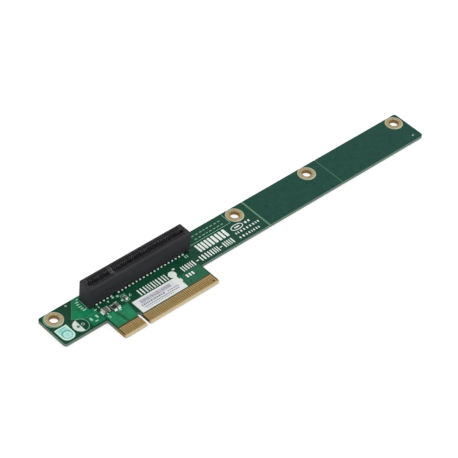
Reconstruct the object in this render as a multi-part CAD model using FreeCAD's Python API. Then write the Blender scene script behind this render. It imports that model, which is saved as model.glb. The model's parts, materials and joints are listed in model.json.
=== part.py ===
import FreeCAD, Part
import math
import os

# A slim riser board that plugs into a card slot by its edge tongue and offers
# a parallel card slot on its upper face. Sizes are in millimetres.
# Frame: X runs along the board, Y from the tongue's tip to the back edge,
# Z up out of the slot. The origin is on the key notch's centre line, at the
# tongue's leading edge, halfway through the board's thickness.

V = FreeCAD.Vector

# Board
BOARD_THICKNESS = 1.6
STRIP_LENGTH = 212.3
STRIP_WIDTH = 18.5
STRIP_LEFT_OF_KEY = 35.1
STRIP_CORNER_RADIUS = 1.3
STRIP_CORNER_FLAT_COUNT = 4
TONGUE_REACH = 12.0
TONGUE_SHORT_SIDE = 11.65
TONGUE_LONG_SIDE = 38.65
KEY_WIDTH = 1.9
KEY_DEPTH = 7.7
TONGUE_CORNER_CHAMFER = 0.5
INNER_CORNER_RADIUS = 0.8
TIP_BEVEL_LENGTH = 1.2
TIP_BEVEL_DEPTH = 0.42

# Break-off grooves, cut across both faces
GROOVE_PLACES = (80.05, 125.05)
GROOVE_HALF_WIDTH = 0.3
GROOVE_DEPTH = 0.4

# Contact positions, shared by the edge fingers and the slot
PITCH = 1.0
SHORT_SIDE_PLACES = 11
LONG_SIDE_PLACES = 38
FIRST_PLACE_FROM_KEY = 1.5

# Edge fingers
FINGER_WIDTH = 0.7
FINGER_LENGTH = 4.3
FINGER_THICKNESS = 0.05
FINGER_FROM_BEVEL = 0.1
PRESENCE_FINGER_LENGTH = 3.2

# Mounting holes, each with a plated ring on both faces
HOLE_FROM_BACK_EDGE = 4.3
END_HOLE_FROM_LEFT_END = 5.4
END_HOLE_FROM_RIGHT_END = 4.95
INNER_HOLES_BEFORE_GROOVE = (8.0, 9.0)
RING_OUTER_RADIUS = 4.25
HOLE_RADIUS = 2.05
RING_THICKNESS = 0.05
RING_FLAT_COUNT = 20

# Slot housing
SLOT_FROM_BACK_EDGE = 5.5
SLOT_WIDTH = 7.5
SLOT_HEIGHT = 11.25
SLOT_END_WALL = 1.75
SLOT_FOOT_HEIGHT = 1.8
SLOT_FLOOR = 1.5
SLOT_EDGE_CHAMFER = 0.4
MOUTH_WIDTH = 1.8
MOUTH_END_CLEARANCE = 0.15
LEAD_IN = 0.55
RIB_CLEARANCE = 0.125
RIB_BELOW_TOP = 0.6
RECESS_WIDTH = 0.6
RECESS_DEPTH = 1.8
PEG_RADIUS = 1.15
PEG_PROTRUSION = 1.3
PEG_TIP_CHAMFER = 0.3
PEG_CLEARANCE = 0.05
PEG_FLAT_COUNT = 16
PEG_FROM_TONGUE_END = 0.55

# Spring contacts
CONTACT_WIDTH = 0.44
CONTACT_THICKNESS = 0.2
CONTACT_TIP_BELOW_TOP = 1.7
CONTACT_TIP_OUT = 1.3
CONTACT_BUMP_BELOW_TIP = 1.3
CONTACT_BUMP_OUT = 0.68
CONTACT_WALL_CLEARANCE = 0.05
CONTACT_FLOOR_CLEARANCE = 0.1
CONTACT_JOG_HEIGHT = 1.0
INNER_ROW_OUT = 1.25
OUTER_ROW_OUT = 3.25
TAIL_PROTRUSION = 1.0
PIN_HOLE = 0.7

# Chip parts: centre, length, width, height, axis of the length
PAD_THICKNESS = 0.05
PAD_BEYOND_CHIP = 0.45
PAD_UNDER_CHIP = 0.6
CHIP_CAPACITOR = {"centre": (-10.1, 16.45), "size": (3.2, 2.5, 1.4), "axis": "x", "cap": 0.55}
CHIP_RESISTOR = {"centre": (-6.15, 15.8), "size": (3.2, 1.5, 0.6), "axis": "y", "cap": 0.5}
SMALL_CAPACITOR = {"centre": (-4.15, 15.9), "size": (3.2, 1.5, 0.95), "axis": "y", "cap": 0.5}
SIDE_CAPACITOR = {"centre": (1.55, 17.4), "size": (2.0, 1.25, 0.6), "axis": "y", "cap": 0.4}
CHIP_EDGE_RADIUS = 0.08

# Bare pads and holes of places left empty
LEFT_SPARE = {"centre": (-16.1, 16.6), "span": 3.0, "along": 1.0, "across": 1.8, "axis": "x"}
RIGHT_SPARE = {"centre": (-0.4, 18.6), "span": 3.1, "along": 1.0, "across": 1.1, "axis": "y"}
LEAD_CENTRE = (-23.2, 16.7)
LEAD_SPACING = 2.5
LEAD_PAD_RADIUS = 0.8
LEAD_HOLE_RADIUS = 0.4
LEAD_FLAT_COUNT = 8
LEFT_DOT_FROM_LEFT_END = 14.05
LEFT_DOT_FROM_BACK_EDGE = 1.4
RIGHT_DOT_FROM_RIGHT_END = 3.95
RIGHT_DOT_FROM_FRONT_EDGE = 2.8
DOT_RADIUS = 0.5
DOT_FLAT_COUNT = 8

# Stickers
STICKER_THICKNESS = 0.1
LABEL_LENGTH = 25.0
LABEL_WIDTH = 7.5
LABEL_FROM_KEY = 1.8
LABEL_FROM_TIP = 6.0
SEAL_LENGTH = 7.8
SEAL_WIDTH = 6.3
SEAL_FROM_LEFT_END = 1.1
SEAL_FROM_FRONT_EDGE = 1.0
SEAL_ROUND_RADIUS = 2.6

# Places worked out from the sizes above
TOP = BOARD_THICKNESS / 2
BOTTOM = -TOP
STRIP_LEFT = -STRIP_LEFT_OF_KEY
STRIP_RIGHT = STRIP_LEFT + STRIP_LENGTH
STRIP_FRONT = TONGUE_REACH
STRIP_BACK = STRIP_FRONT + STRIP_WIDTH
TONGUE_LEFT = -(KEY_WIDTH / 2 + TONGUE_SHORT_SIDE)
TONGUE_RIGHT = KEY_WIDTH / 2 + TONGUE_LONG_SIDE
HOLE_Y = STRIP_BACK - HOLE_FROM_BACK_EDGE
OUTER_HOLES = (STRIP_LEFT + END_HOLE_FROM_LEFT_END, STRIP_RIGHT - END_HOLE_FROM_RIGHT_END)
INNER_HOLES = tuple(x - back for x, back in zip(GROOVE_PLACES, INNER_HOLES_BEFORE_GROOVE))
ALIGNMENT_DOTS = (
    (STRIP_LEFT + LEFT_DOT_FROM_LEFT_END, STRIP_BACK - LEFT_DOT_FROM_BACK_EDGE),
    (STRIP_RIGHT - RIGHT_DOT_FROM_RIGHT_END, STRIP_FRONT + RIGHT_DOT_FROM_FRONT_EDGE),
)
SLOT_Y = STRIP_BACK - SLOT_FROM_BACK_EDGE
MOUTH_LEFT = TONGUE_LEFT - MOUTH_END_CLEARANCE
MOUTH_RIGHT = TONGUE_RIGHT + MOUTH_END_CLEARANCE
SLOT_LEFT = MOUTH_LEFT - SLOT_END_WALL
SLOT_RIGHT = MOUTH_RIGHT + SLOT_END_WALL
SLOT_TOP = TOP + SLOT_HEIGHT
FLOOR_UNDER = TOP + SLOT_FOOT_HEIGHT
FLOOR_TOP = FLOOR_UNDER + SLOT_FLOOR
MOUTH_OUT = MOUTH_WIDTH / 2
RECESS_OUT = MOUTH_OUT + RECESS_DEPTH
PEG_PLACES = (0.0, TONGUE_RIGHT + PEG_FROM_TONGUE_END)
SHORT_SIDE = [-FIRST_PLACE_FROM_KEY - PITCH * i for i in range(SHORT_SIDE_PLACES)][::-1]
LONG_SIDE = [FIRST_PLACE_FROM_KEY + PITCH * i for i in range(LONG_SIDE_PLACES)]
PLACES = SHORT_SIDE + LONG_SIDE
PAST = 1.0
NEAR = 0.001


def write(name, solids):
    shape = solids[0] if len(solids) == 1 else Part.makeCompound(solids)
    shape.exportStep("parts/" + name + ".step")


def block(x0, x1, y0, y1, z0, z1):
    return Part.makeBox(x1 - x0, y1 - y0, z1 - z0, V(x0, y0, z0))


def centred_block(centre, size, z0):
    x, y = centre
    dx, dy, dz = size
    return block(x - dx / 2, x + dx / 2, y - dy / 2, y + dy / 2, z0, z0 + dz)


def upright_cylinder(x, y, radius, z0, z1):
    return Part.makeCylinder(radius, z1 - z0, V(x, y, z0))


def rounded_plate(corners, z0, z1):
    """Plate over a closed outline; each corner is (x, y, radius)."""
    points = [V(x, y, z0) for x, y, radius in corners]
    edges = []
    ends = []
    for i, (x, y, radius) in enumerate(corners):
        before = points[i - 1] - points[i]
        after = points[(i + 1) % len(points)] - points[i]
        before.normalize()
        after.normalize()
        half = before.getAngle(after) / 2
        run = radius / math.tan(half)
        start = points[i] + before * run
        stop = points[i] + after * run
        if radius > 0:
            inward = before + after
            inward.normalize()
            middle = points[i] + inward * (radius / math.sin(half) - radius)
            edges.append(Part.Arc(start, middle, stop).toShape())
        ends.append((start, stop))
    for i in range(len(points)):
        edges.append(Part.makeLine(ends[i - 1][1], ends[i][0]))
    wire = Part.Wire(Part.__sortEdges__(edges))
    return Part.Face(wire).extrude(V(0, 0, z1 - z0))


def prism(points, along):
    """Solid swept from a closed polygon of points along a vector."""
    return Part.Face(Part.makePolygon(points + [points[0]])).extrude(along)


def many_sided(x, y, radius, flats, z0, z1, top_radius=None):
    """Round post drawn with flats; radius is to the middle of each flat."""
    rims = []
    for z, r in ((z0, radius), (z1, radius if top_radius is None else top_radius)):
        corner = r / math.cos(math.pi / flats)
        turn = [2 * math.pi * (i + 0.5) / flats for i in range(flats)]
        points = [V(x + corner * math.cos(a), y + corner * math.sin(a), z) for a in turn]
        rims.append(Part.makePolygon(points + [points[0]]))
    return Part.makeLoft(rims, True, True)


def washer(x, y, outer, inner, flats, z0, z1):
    ring = many_sided(x, y, outer, flats, z0, z1)
    return ring.cut(many_sided(x, y, inner, flats, z0 - PAST, z1 + PAST))


def washer_pair(x, y, outer, inner, flats, thickness):
    """A flat ring on the board's upper face and one on its lower face."""
    return [
        washer(x, y, outer, inner, flats, TOP, TOP + thickness),
        washer(x, y, outer, inner, flats, BOTTOM - thickness, BOTTOM),
    ]


def square_hole(x, y, size):
    return block(x - size / 2, x + size / 2, y - size / 2, y + size / 2, BOTTOM - PAST, TOP + PAST)


def row_places(side, row):
    """The places whose tails stand in one of the two rows on a side."""
    odd = [x for i, x in enumerate(PLACES) if i % 2 == 0]
    even = [x for i, x in enumerate(PLACES) if i % 2 == 1]
    outer = even if side < 0 else odd
    inner = odd if side < 0 else even
    return outer if row == "outer" else inner


def row_offset(row):
    return OUTER_ROW_OUT if row == "outer" else INNER_ROW_OUT


ROWS = (
    ("contacts_front_outer", -1, "outer"),
    ("contacts_front_inner", -1, "inner"),
    ("contacts_rear_inner", 1, "inner"),
    ("contacts_rear_outer", 1, "outer"),
)


def quarter_turn(x, y, quarter):
    """A strip corner drawn with flats, about (x, y), from a multiple of a right angle."""
    share = [i / STRIP_CORNER_FLAT_COUNT for i in range(STRIP_CORNER_FLAT_COUNT + 1)]
    turn = [math.pi / 2 * (quarter + part) for part in share]
    r = STRIP_CORNER_RADIUS
    return [(x + r * math.cos(a), y + r * math.sin(a), 0) for a in turn]


def board_outline():
    c = TONGUE_CORNER_CHAMFER
    inner = INNER_CORNER_RADIUS
    left = STRIP_LEFT + STRIP_CORNER_RADIUS
    right = STRIP_RIGHT - STRIP_CORNER_RADIUS
    front = STRIP_FRONT + STRIP_CORNER_RADIUS
    back = STRIP_BACK - STRIP_CORNER_RADIUS
    tongue = [
        (TONGUE_LEFT, STRIP_FRONT, inner),
        (TONGUE_LEFT, c, 0),
        (TONGUE_LEFT + c, 0, 0),
        (TONGUE_RIGHT - c, 0, 0),
        (TONGUE_RIGHT, c, 0),
        (TONGUE_RIGHT, STRIP_FRONT, inner),
    ]
    right_end = quarter_turn(right, front, 3) + quarter_turn(right, back, 0)
    left_end = quarter_turn(left, back, 1) + quarter_turn(left, front, 2)
    return tongue + right_end + left_end


def key_notch():
    half = KEY_WIDTH / 2
    end = KEY_DEPTH - half
    z0 = BOTTOM - PAST
    z1 = TOP + PAST
    return block(-half, half, -PAST, end, z0, z1).fuse(upright_cylinder(0, end, half, z0, z1))


def tip_bevels():
    length = TONGUE_RIGHT - TONGUE_LEFT + 2 * PAST
    slope = TIP_BEVEL_DEPTH / TIP_BEVEL_LENGTH
    bevels = []
    for side in (1, -1):
        points = [
            V(TONGUE_LEFT - PAST, TIP_BEVEL_LENGTH, side * TOP),
            V(TONGUE_LEFT - PAST, -PAST, side * (TOP - TIP_BEVEL_DEPTH - slope * PAST)),
            V(TONGUE_LEFT - PAST, -PAST, side * TOP),
        ]
        bevels.append(prism(points, V(length, 0, 0)))
    return bevels


def break_grooves():
    grooves = []
    width = STRIP_WIDTH + 2 * PAST
    for x in GROOVE_PLACES:
        for side in (1, -1):
            points = [
                V(x - GROOVE_HALF_WIDTH, STRIP_FRONT - PAST, side * TOP),
                V(x + GROOVE_HALF_WIDTH, STRIP_FRONT - PAST, side * TOP),
                V(x, STRIP_FRONT - PAST, side * (TOP - GROOVE_DEPTH)),
            ]
            grooves.append(prism(points, V(0, width, 0)))
    return grooves


def board_holes():
    z0 = BOTTOM - PAST
    z1 = TOP + PAST
    holes = [upright_cylinder(x, HOLE_Y, HOLE_RADIUS, z0, z1) for x in OUTER_HOLES + INNER_HOLES]
    lead_hole = (LEAD_CENTRE[1], LEAD_HOLE_RADIUS, LEAD_FLAT_COUNT, z0, z1)
    holes += [many_sided(x, *lead_hole) for x in lead_places()]
    peg_hole = (SLOT_Y, PEG_RADIUS + PEG_CLEARANCE, PEG_FLAT_COUNT, z0, z1)
    holes += [many_sided(x, *peg_hole) for x in PEG_PLACES]
    for name, side, row in ROWS:
        y = SLOT_Y + side * row_offset(row)
        holes += [square_hole(x, y, PIN_HOLE) for x in row_places(side, row)]
    return holes


def make_board():
    plate = rounded_plate(board_outline(), BOTTOM, TOP)
    board = plate.cut([key_notch()] + tip_bevels() + break_grooves() + board_holes())
    write("circuit_board", board.Solids)


def finger(x, side, length):
    y0 = TIP_BEVEL_LENGTH + FINGER_FROM_BEVEL
    y0 += FINGER_LENGTH - length
    low = TOP if side > 0 else BOTTOM - FINGER_THICKNESS
    high = low + FINGER_THICKNESS
    return block(x - FINGER_WIDTH / 2, x + FINGER_WIDTH / 2, y0, y0 + length, low, high)


def make_fingers():
    for face, side, presence in (("top", 1, LONG_SIDE[-2]), ("bottom", -1, SHORT_SIDE[0])):
        for part, places in (("short", SHORT_SIDE), ("long", LONG_SIDE)):
            lengths = [PRESENCE_FINGER_LENGTH if x == presence else FINGER_LENGTH for x in places]
            solids = [finger(x, side, length) for x, length in zip(places, lengths)]
            write("edge_fingers_" + face + "_" + part, solids)


def make_rings():
    rings = []
    for x in OUTER_HOLES + INNER_HOLES:
        rings += washer_pair(x, HOLE_Y, RING_OUTER_RADIUS, HOLE_RADIUS, RING_FLAT_COUNT, RING_THICKNESS)
    write("mounting_rings", rings)


def lead_places():
    return [LEAD_CENTRE[0] + side * LEAD_SPACING / 2 for side in (-1, 1)]


def make_lead_rings():
    rings = []
    for x in lead_places():
        sizes = (LEAD_PAD_RADIUS, LEAD_HOLE_RADIUS, LEAD_FLAT_COUNT, PAD_THICKNESS)
        rings += washer_pair(x, LEAD_CENTRE[1], *sizes)
    write("spare_lead_rings", rings)


def mouth_cut():
    """The card's space, with a sloped lead-in along its upper rim."""
    cavity = block(
        MOUTH_LEFT, MOUTH_RIGHT, SLOT_Y - MOUTH_OUT, SLOT_Y + MOUTH_OUT, FLOOR_TOP, SLOT_TOP + PAST
    )
    rims = []
    for z, out in ((SLOT_TOP - LEAD_IN, 0), (SLOT_TOP, LEAD_IN)):
        corners = [
            V(MOUTH_LEFT - out, SLOT_Y - MOUTH_OUT - out, z),
            V(MOUTH_RIGHT + out, SLOT_Y - MOUTH_OUT - out, z),
            V(MOUTH_RIGHT + out, SLOT_Y + MOUTH_OUT + out, z),
            V(MOUTH_LEFT - out, SLOT_Y + MOUTH_OUT + out, z),
        ]
        rims.append(Part.makePolygon(corners + [corners[0]]))
    return [cavity, Part.makeLoft(rims, True, True)]


def recess_cuts():
    cuts = []
    for side in (-1, 1):
        far = SLOT_Y + side * RECESS_OUT
        near = SLOT_Y + side * MOUTH_OUT
        for x in PLACES:
            x0 = x - RECESS_WIDTH / 2
            x1 = x + RECESS_WIDTH / 2
            cuts.append(block(x0, x1, min(near, far), max(near, far), FLOOR_UNDER - PAST, SLOT_TOP + PAST))
    return cuts


def peg(x):
    tip = BOTTOM - PEG_PROTRUSION
    c = PEG_TIP_CHAMFER
    shank = many_sided(x, SLOT_Y, PEG_RADIUS, PEG_FLAT_COUNT, tip + c, FLOOR_UNDER + SLOT_FLOOR / 2)
    nose = many_sided(x, SLOT_Y, PEG_RADIUS - c, PEG_FLAT_COUNT, tip, tip + c, PEG_RADIUS)
    return shank.fuse(nose)


def make_slot():
    half = SLOT_WIDTH / 2
    body = block(SLOT_LEFT, SLOT_RIGHT, SLOT_Y - half, SLOT_Y + half, TOP, SLOT_TOP)
    rim = [e for e in body.Edges if abs(e.CenterOfMass.z - SLOT_TOP) < NEAR]
    corners = [e for e in body.Edges if e.Vertexes[0].Z != e.Vertexes[1].Z]
    body = body.makeChamfer(SLOT_EDGE_CHAMFER, rim + corners)
    out = half + PAST
    under = block(MOUTH_LEFT, MOUTH_RIGHT, SLOT_Y - out, SLOT_Y + out, TOP - PAST, FLOOR_UNDER)
    body = body.cut([under] + mouth_cut() + recess_cuts())
    rib_half = KEY_WIDTH / 2 - RIB_CLEARANCE
    rib = block(
        -rib_half, rib_half, SLOT_Y - MOUTH_OUT, SLOT_Y + MOUTH_OUT, FLOOR_TOP, SLOT_TOP - RIB_BELOW_TOP
    )
    body = body.fuse([rib] + [peg(x) for x in PEG_PLACES]).removeSplitter()
    write("slot_housing", body.Solids)


def contact_line(row):
    """Centre line of a contact, as distance from the slot's middle and height."""
    tip = SLOT_TOP - CONTACT_TIP_BELOW_TOP
    line = [(CONTACT_TIP_OUT, tip), (CONTACT_BUMP_OUT, tip - CONTACT_BUMP_BELOW_TIP)]
    if row == "outer":
        wall = RECESS_OUT - CONTACT_WALL_CLEARANCE - CONTACT_THICKNESS / 2
        line.append((wall, FLOOR_UNDER - CONTACT_FLOOR_CLEARANCE))
    line.append((row_offset(row), TOP + CONTACT_JOG_HEIGHT))
    line.append((row_offset(row), BOTTOM - TAIL_PROTRUSION))
    return line


def strip_outline(line, half):
    """Outline of a bent strip about a line, drawn out to a point at both ends."""
    left = []
    right = []
    for (u0, z0), (u, z), (u1, z1) in zip(line, line[1:], line[2:]):
        before = V(u - u0, z - z0, 0).normalize()
        after = V(u1 - u, z1 - z, 0).normalize()
        normal = V(-before.y, before.x, 0)
        mitre = (normal + V(-after.y, after.x, 0)).normalize()
        reach = half / mitre.dot(normal)
        left.append((u + mitre.x * reach, z + mitre.y * reach))
        right.append((u - mitre.x * reach, z - mitre.y * reach))
    return [line[0]] + left + [line[-1]] + right[::-1]


def contact(x, side, row):
    """One bent spring strip, from its lead-in tip down to its solder tail."""
    outline = strip_outline(contact_line(row), CONTACT_THICKNESS / 2)
    points = [V(x - CONTACT_WIDTH / 2, SLOT_Y + side * out, z) for out, z in outline]
    return prism(points, V(CONTACT_WIDTH, 0, 0))


def make_contacts():
    for name, side, row in ROWS:
        write(name, [contact(x, side, row) for x in row_places(side, row)])


def turned(size, axis):
    """A length, width and height as X, Y and Z sizes."""
    along, across, height = size
    return (along, across, height) if axis == "x" else (across, along, height)


def shifted(centre, distance, axis):
    x, y = centre
    return (x + distance, y) if axis == "x" else (x, y + distance)


def make_chip(name, chip):
    length, width, height = chip["size"]
    axis = chip["axis"]
    cap = chip["cap"]
    base = TOP + PAD_THICKNESS
    body_size = (length - 2 * cap, width, height)
    write(name + "_body", [centred_block(chip["centre"], turned(body_size, axis), base)])
    caps = []
    pads = []
    pad_length = PAD_UNDER_CHIP + PAD_BEYOND_CHIP
    for side in (-1, 1):
        spot = shifted(chip["centre"], side * (length - cap) / 2, axis)
        block_cap = centred_block(spot, turned((cap, width, height), axis), base)
        outer = [e for e in block_cap.Edges if on_cap_end(e, chip, side)]
        caps.append(block_cap.makeChamfer(CHIP_EDGE_RADIUS, outer))
        pad_at = length / 2 - PAD_UNDER_CHIP + pad_length / 2
        spot = shifted(chip["centre"], side * pad_at, axis)
        pads.append(centred_block(spot, turned((pad_length, width, PAD_THICKNESS), axis), TOP))
    write(name + "_terminals", caps)
    write(name + "_pads", pads)


def on_cap_end(edge, chip, side):
    """Whether an edge lies on the chip's end face, above the pads."""
    along = 0 if chip["axis"] == "x" else 1
    end = chip["centre"][along] + side * chip["size"][0] / 2
    middle = edge.CenterOfMass
    raised = middle.z > TOP + PAD_THICKNESS + NEAR
    return raised and all(abs(v.Point[along] - end) < NEAR for v in edge.Vertexes)


def make_spares():
    pads = []
    for spare in (LEFT_SPARE, RIGHT_SPARE):
        for side in (-1, 1):
            spot = shifted(spare["centre"], side * spare["span"] / 2, spare["axis"])
            size = turned((spare["along"], spare["across"], PAD_THICKNESS), spare["axis"])
            pads.append(centred_block(spot, size, TOP))
    write("spare_chip_pads", pads)


def make_dots():
    write(
        "alignment_dots",
        [many_sided(x, y, DOT_RADIUS, DOT_FLAT_COUNT, TOP, TOP + PAD_THICKNESS) for x, y in ALIGNMENT_DOTS],
    )


def make_label():
    x0 = LABEL_FROM_KEY
    x1 = x0 + LABEL_LENGTH
    y0 = LABEL_FROM_TIP
    y1 = y0 + LABEL_WIDTH
    write("barcode_label", [block(x0, x1, y0, y1, TOP, TOP + STICKER_THICKNESS)])


def make_seal():
    x0 = STRIP_LEFT + SEAL_FROM_LEFT_END
    x1 = x0 + SEAL_WIDTH
    y0 = STRIP_FRONT + SEAL_FROM_FRONT_EDGE
    y1 = y0 + SEAL_LENGTH
    round_end = SEAL_ROUND_RADIUS
    corners = [(x0, y0, round_end), (x1, y0, round_end), (x1, y1, 0), (x0, y1, 0)]
    write("inspection_sticker", [rounded_plate(corners, TOP, TOP + STICKER_THICKNESS)])


os.makedirs("parts", exist_ok=True)
make_board()
make_fingers()
make_rings()
make_lead_rings()
make_slot()
make_contacts()
make_chip("chip_capacitor", CHIP_CAPACITOR)
make_chip("chip_resistor", CHIP_RESISTOR)
make_chip("small_capacitor", SMALL_CAPACITOR)
make_chip("side_capacitor", SIDE_CAPACITOR)
make_spares()
make_dots()
make_label()
make_seal()
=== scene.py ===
import json
import math

import bpy
import numpy as np
from mathutils import Matrix, Vector


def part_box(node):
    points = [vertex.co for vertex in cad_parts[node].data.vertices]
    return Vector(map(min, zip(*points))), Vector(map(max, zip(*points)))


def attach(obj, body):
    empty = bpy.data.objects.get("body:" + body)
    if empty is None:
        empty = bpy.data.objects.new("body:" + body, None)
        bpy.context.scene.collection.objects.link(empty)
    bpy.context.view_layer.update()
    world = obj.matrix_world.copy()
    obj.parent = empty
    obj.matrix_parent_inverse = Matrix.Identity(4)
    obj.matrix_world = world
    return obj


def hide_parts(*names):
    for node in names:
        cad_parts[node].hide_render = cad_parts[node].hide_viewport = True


# Dresses the riser board: solder mask, print, stickers, solder and plated eyelets.
# Lengths are in millimetres in the part's own frame unless a heading says metres,
# and MM turns them into metres.
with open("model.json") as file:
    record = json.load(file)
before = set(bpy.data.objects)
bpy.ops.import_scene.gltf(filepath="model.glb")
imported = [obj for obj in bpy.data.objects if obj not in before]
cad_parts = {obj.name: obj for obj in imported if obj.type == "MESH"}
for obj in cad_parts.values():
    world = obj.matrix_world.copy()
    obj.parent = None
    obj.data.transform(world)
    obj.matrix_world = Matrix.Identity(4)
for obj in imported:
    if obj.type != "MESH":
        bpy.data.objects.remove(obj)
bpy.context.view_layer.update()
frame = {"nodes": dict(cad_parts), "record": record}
MM = 0.001
SEED = 7
NEARLY_ZERO = 0.000001


def node_box(name):
    """Lowest and highest corners of a CAD node, in millimetres to the micron."""
    return np.round(np.array(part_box(name)) / MM, 3).tolist()


def hole_places():
    """Centres of the mounting holes, half a spacing to either side of the middle of
    each bolt pattern."""
    places = []
    for mount in frame["record"]["mounts"]:
        if mount["kind"] == "bolt_pattern":
            x, y, _ = (place / MM for place in mount["pos_m"])
            half = mount["dims"]["spacing_x_mm"] / 2
            places += [(round(x + shift, 3), round(y, 3)) for shift in (-half, half)]
    return places


# Board and its edge tongue
BOARD_LOW, BOARD_HIGH = node_box("circuit_board")
TOP = BOARD_HIGH[2]
BOTTOM = BOARD_LOW[2]
STRIP_WIDTH = 18.5
STRIP_FRONT = BOARD_HIGH[1] - STRIP_WIDTH
STRIP_MIDDLE = BOARD_HIGH[1] - STRIP_WIDTH / 2
NEAR_GROOVE = 80.05
FAR_GROOVE = 125.05
GROOVE_REACH = 0.42
BARE_TONGUE = 5.75
BEVEL_END = 1.25
TIP_WEAR_END = 0.7
TONGUE_SIDE = -12.0
GOLD_DULLS_FROM = 4.3
GOLD_STAINS_FROM = 5.2

# Card slot and its contacts
SLOT_LOW, SLOT_HIGH = node_box("slot_housing")
SLOT_Y = (SLOT_LOW[1] + SLOT_HIGH[1]) / 2
SLOT_TOP = SLOT_HIGH[2]
PITCH = 1.0
FIRST_PLACE = 1.5
SHORT_COUNT = 11
LONG_COUNT = 38
SHORT_PLACES = -FIRST_PLACE - PITCH * np.arange(SHORT_COUNT)[::-1]
LONG_PLACES = FIRST_PLACE + PITCH * np.arange(LONG_COUNT)
PLACES = np.concatenate([SHORT_PLACES, LONG_PLACES])
INNER_ROW = 1.25
OUTER_ROW = 3.25
MOUTH_PAST_PLACES = 0.8
MOUTH_HALF_WIDTH = 2.0
# Height above which the contacts' colour is painted shade
TAILS_SHADED_FROM = TOP + 0.2

# Plated eyelets in the mounting holes
RINGS_LOW, RINGS_HIGH = node_box("mounting_rings")
EYELET_PLACES = hole_places()
EYELET_RADIUS = (RINGS_HIGH[1] - RINGS_LOW[1]) / 2
EYELET_BORE = 2.02
EYELET_LIP = 0.22
EYELET_LIP_DEPTH = 0.16
EYELET_EDGE = 0.06
EYELET_EDGE_RISE = 0.01
# How far from each eyelet's centre the painted shade of the bore reaches
EYELET_SHADE_REACH = 2.5
EYELET_STEP = (3.25, 3.6)
HOLE_RADIUS = 2.045
CREASE_DEGREES = 40
PLATING = RINGS_HIGH[2] - TOP

# Chips: how far the solder reaches past them, then the shares of a chip's height
# that it climbs and of that at its sides, and of a chip's width that it covers
CHIPS = ("chip_capacitor", "chip_resistor", "small_capacitor", "side_capacitor")
SOLDER_BEYOND_CHIP = 0.4
SOLDER_CLIMB = 0.7
SOLDER_SIDE_CLIMB = 0.6
SOLDER_HALF_WIDTH = 0.47
SOLDER_NARROWING = 0.05
WEDGE_STEPS = 6
WEDGE_LINES = 5
GLAZE_LEVEL = TOP + 0.5

# Copper seen through the solder mask: an area is its left, right, front and back
# edges, and a lean or climb is the shift over each millimetre
LEFT_COPPER_CORNER = (-24.1, 21.7)
LEFT_COPPER_SLOPE = 1.22
LEFT_COPPER_BEND = (-19.2, 18.6)
LEFT_COPPER_CLIMB = 0.59
LEFT_COPPER_END = -12.9
TONGUE_COPPER = (-11.7, 0.5, 6.4, 14.6)
TONGUE_COPPER_LEAN = 0.17
COPPER_PARTING = (-7.7, -6.3)
COPPER_PARTING_LEAN = 0.15
LEAN_START = 14.5
INNER_COPPER = (-19.2, -12.4, 12.9, 18.7)
RIGHT_COPPER_SIDES = (27.2, 39.2)
RIGHT_COPPER_BACK = 13.2
TRACKED_AREA = (-12.0, 41.0, 5.9, 21.0)

# Waves in colours and relief, in radians per millimetre
TRACK_TURN = 2 * math.pi / PITCH
WEAVE_TURN = 5.2
LAYER_TURN = 11.0
RING_TURN = 14.0

# Shades of the solder mask: a place along X and the length of its change, and a spot
ARM_SHADE = (43.0, 9.0)
FAR_ARM_SHADE = (82.0, 8.0)
DARK_SPOT = (86.97, 21.87)
DARK_SPOT_RADIUS = 0.6

# Superellipse powers: 2 makes an ellipse, and a higher power squares the corners
ROUND = 2.0
OVAL = 2.2
SOFT = 5.0
EASED = 6.0
CRISP = 7.0
BOXY = 8.0
SQUARE = 12.0

# Ink and its strokes
INK = 0.02
FINE_LINE = 0.28
BOX_LINE = 0.3
OVAL_LINE = 0.42

# Rows of uneven marks: left and right end, middle line, height, how many there are,
# the least and greatest share that one takes, and how much of its share it fills
BAR_ROWS = (
    (7.4, 23.6, 15.9, 3.7, 11, 0.7, 1.3, 0.42),
    (44.6, 62.3, 20.4, 4.7, 9, 0.8, 1.2, 0.66),
    (31.0, 38.8, 15.1, 3.2, 6, 0.7, 1.3, 0.46),
    (41.6, 52.9, 15.1, 3.2, 8, 0.7, 1.3, 0.46),
    (55.2, 61.4, 15.1, 3.2, 5, 0.7, 1.3, 0.46),
)
FINE_ROWS = (
    (64.0, 78.4, 17.1, 1.2, 9, 0.7, 1.3, 0.42),
    (63.7, 76.0, 14.2, 1.2, 8, 0.6, 1.3, 0.42),
)

# The same for the label, from its left front corner
LABEL_ROWS = (
    (2.0, 15.0, 3.4, 1.0, 12, 0.5, 1.4, 0.6),
    (2.6, 22.0, 2.0, 0.5, 26, 0.5, 1.6, 0.66),
    (16.0, 22.4, 3.2, 0.5, 9, 0.5, 1.6, 0.66),
    (3.0, 18.0, 1.1, 0.35, 20, 0.5, 1.6, 0.6),
)

# The label's bars, from the same corner: the row's ends, middle line, height and
# number, and the least and greatest share and filling
LABEL_BARS = (3.0, 19.6, 5.3, 1.9, 44)
LABEL_BAR_SHARES = (0.4, 1.5)
LABEL_BAR_FILLS = (0.35, 0.75)

# Widths of the label's paler rim at the left, right, front and back
LABEL_RIM = (2.0, 3.4, 1.5, 0.8)

# Rows of even marks: left and right end, middle line, height, shares and filling
BLOCK_ROW = (29.9, 34.6, 10.9, 1.9, (1, 1, 1), 0.6)
PAIR_ROW = (71.7, 75.4, 20.0, 1.2, (1, 0.8), 0.54)
THIN_ROW = (47.4, 64.8, 26.5, 2.7, (1, 1, 1, 0.7, 1, 1, 1, 1), 0.6)
THIN_GAP = 1.7

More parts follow.
